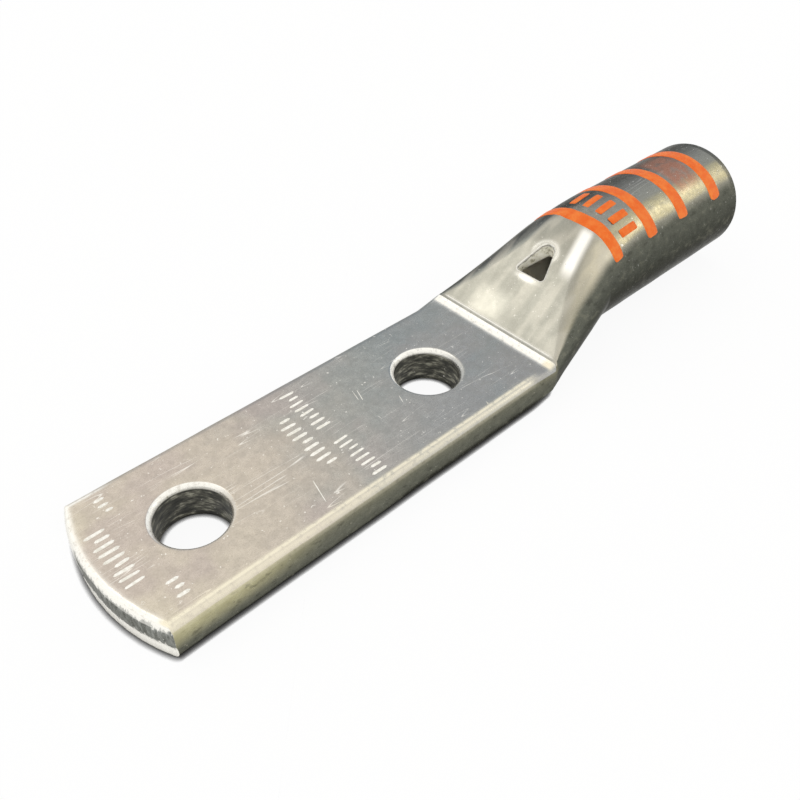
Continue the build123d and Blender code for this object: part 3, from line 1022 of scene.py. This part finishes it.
ink = orange_ink()
bands = Shell()
middles = [MOUTH_X - distance for distance in BANDS_FROM_MOUTH]
for seed, (middle, width) in enumerate(zip(middles, BAND_WIDTHS)):
    strip(bands, middle, width / 2, -BAND_HALF, BAND_HALF, seed, *BAND_EASE)
bars = Shell()
gap_middle = (middles[-1] + BAND_WIDTHS[-1] / 2 + middles[-2] - BAND_WIDTHS[-2] / 2) / 2
for seed in range(BAR_COUNT):
    angle = BAR_MIDDLE + BAR_PITCH * (seed - (BAR_COUNT - 1) / 2)
    strip(bars, gap_middle, BAR_L / 2, angle - BAR_HALF, angle + BAR_HALF, seed + 10, *BAR_EASE)
for ink_shell, name, node in ((bands, "ink_bands", "printed_bands"), (bars, "ink_bars", "printed_bars")):
    piece = ink_shell.build(name, ink, radians(60))
    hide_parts(node)
    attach(piece, "root")


# Plain strokes pressed into the tongue, and a few scratches

STROKE_W, STROKE_H, SCRATCH_W, SCRATCH_H = 0.6, 0.12, 0.16, 0.012
STROKE_SINK, STROKE_STEP = 0.03, 0.3


def stroke(strokes, start, finish, width, height):
    """A low rounded ridge on the tongue's top between two points (x, y), with its foot in the skin."""
    a, b = np.array(start, float), np.array(finish, float)
    along = (b - a) / hypot(*(b - a))
    side = np.array([-along[1], along[0]])
    steps = max(int(hypot(*(b - a)) / STROKE_STEP), 3)
    rows = []
    for step in range(steps + 1):
        share = step / steps
        swell = sqrt(max(1 - (2 * share - 1) ** 8, 0.0)) * 0.9 + 0.1
        middle = a + (b - a) * share
        row = []
        for edge in (-1, -0.75, -0.4, 0, 0.4, 0.75, 1):
            x, y = middle + side * edge * width / 2 * swell
            base = TONGUE_T + skin_relief(x, y, TONGUE_T)
            rise = (STROKE_SINK + height * swell) * (1 - edge * edge)
            row.append((x, y, base - STROKE_SINK + rise))
        rows.append(strokes.add(row, "stroke"))
    for first, second in zip(rows, rows[1:]):
        strokes.band(second, first, closed=False)


def stroke_row(strokes, x_low, x_high, y_low, y_high, count, seed):
    """A row of short plain strokes across the tongue, some of them shorter, as a generic mark."""
    for i in range(count):
        y = y_low + (y_high - y_low) * i / (count - 1)
        cut = 0.28 * (x_high - x_low) * ((i * 3 + seed) % 4 == 1)
        lean = 0.12 * noise.noise(Vector((i * 1.7, seed * 3.1, 0.5)))
        stroke(strokes, (x_low + cut, y - lean), (x_high, y + lean), STROKE_W, STROKE_H)


# Where the rows start and end along x and y, and how many strokes each has
STROKE_ROWS = (
    (-3.7, -0.9, -5.0, 6.0, 9), (0.4, 3.2, -11.0, -2.6, 8), (0.4, 3.2, 1.4, 10.4, 8),
    (-35.0, -31.9, -4.6, 5.6, 9), (-30.9, -29.2, 8.2, 10.6, 3), (-30.9, -28.9, -10.0, -7.4, 3),
)
# Both ends of each scratch, as x and y
SCRATCHES = (
    (9.4, 2.0, 11.2, 8.4), (9.9, 1.6, 10.8, 4.2), (8.6, -6.6, 9.3, -2.6),
    (-7.6, -10.6, -6.4, -6.2), (13.6, -4.4, 14.8, -1.2), (-18.0, -8.6, -16.4, -8.0),
)
marks = Shell()
for seed, extent in enumerate(STROKE_ROWS, 1):
    stroke_row(marks, *extent, seed)
for x0, y0, x1, y1 in SCRATCHES:
    stroke(marks, (x0, y0), (x1, y1), SCRATCH_W, SCRATCH_H)
piece = marks.build("pressed_strokes", stroke_metal(), radians(70))
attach(piece, "root")


# Stage, lights and camera


def floor_material():
    """Nearly white to the camera and in reflections, and plain pale grey to all other light."""
    g = Graph(bpy.data.materials.new("pale_floor"))
    path = g.node("LightPath").outputs
    seen = g.most(path["Is Camera Ray"], g.most(path["Is Glossy Ray"], path["Is Transmission Ray"]))
    diffuse = g.node("BsdfDiffuse", {"Color": (0.9, 0.9, 0.9, 1)})
    # A thin painted contact shadow where the lug lies on the floor, darkening its glow
    close = g.node("AmbientOcclusion", {"Distance": 0.0008}, samples=8).outputs["AO"]
    glow = g.node("Emission", {"Color": (1, 1, 1, 1), "Strength": g.math("POWER", close, 3.5)})
    share = g.times(seen, 0.92)
    return g.done(g.node("MixShader", {0: share, 1: diffuse.outputs[0], 2: glow.outputs[0]}))


bpy.ops.mesh.primitive_plane_add(size=6.0, location=(0, 0, 0))
floor = bpy.context.object
floor.name = "floor"
floor.data.materials.append(floor_material())

SKY_STRENGTH = 1.1
world = bpy.data.worlds.new("studio")
bpy.context.scene.world = world
air = Graph(world)
direction = air.node("TexCoord").outputs["Generated"]


def lobe(aim, inner, outer):
    """1 towards a direction of the sky, falling to 0 away from it."""
    dot = air.node("VectorMath", {0: direction, 1: Vector(aim).normalized()}, operation="DOT_PRODUCT")
    return air.span(dot.outputs["Value"], outer, inner)


sky = air.mix(lobe((0.75, 0.47, 0.45), 0.95, 0.55), (0.98, 0.97, 0.95), (0.6, 0.63, 0.68))
sky = air.mix(lobe((0.1, 0.62, 0.78), 0.98, 0.8), sky, (1.08, 1.04, 0.98))
air.done(air.node("Background", {"Color": sky, "Strength": SKY_STRENGTH}), "OutputWorld")


def softbox(name, place, aim, size, power, colour):
    """A rectangular lamp at a place, turned towards a point."""
    lamp = bpy.data.lights.new(name, "AREA")
    lamp.shape = "RECTANGLE"
    lamp.size, lamp.size_y = size
    lamp.energy = power
    lamp.color = colour
    holder = bpy.data.objects.new(name, lamp)
    bpy.context.scene.collection.objects.link(holder)
    holder.location = place
    holder.rotation_euler = (Vector(aim) - Vector(place)).to_track_quat("-Z", "Y").to_euler()


softbox("warm_key", (-0.25, 0.45, 0.75), (0.03, 0, 0.01), (0.22, 0.22), 0.24, (1.0, 0.97, 0.92))
softbox("edge_strip", (0.75, -0.38, 0.5), (0.05, 0, 0.01), (0.34, 0.16), 0.36, (1.0, 0.94, 0.82))

# Camera as fitted to the photo
camera_data = bpy.data.cameras.new("camera")
camera_data.sensor_width = 36.0
camera_data.lens = 38.149363
camera_data.clip_start = 0.005
camera = bpy.data.objects.new("camera", camera_data)
bpy.context.scene.collection.objects.link(camera)
camera.location = (-0.0540928, -0.0718320, 0.0939023)
camera.rotation_euler = (radians(48.017300), radians(-1.029567), radians(-43.500811))
bpy.context.scene.camera = camera
bpy.context.scene.view_settings.view_transform = "Standard"
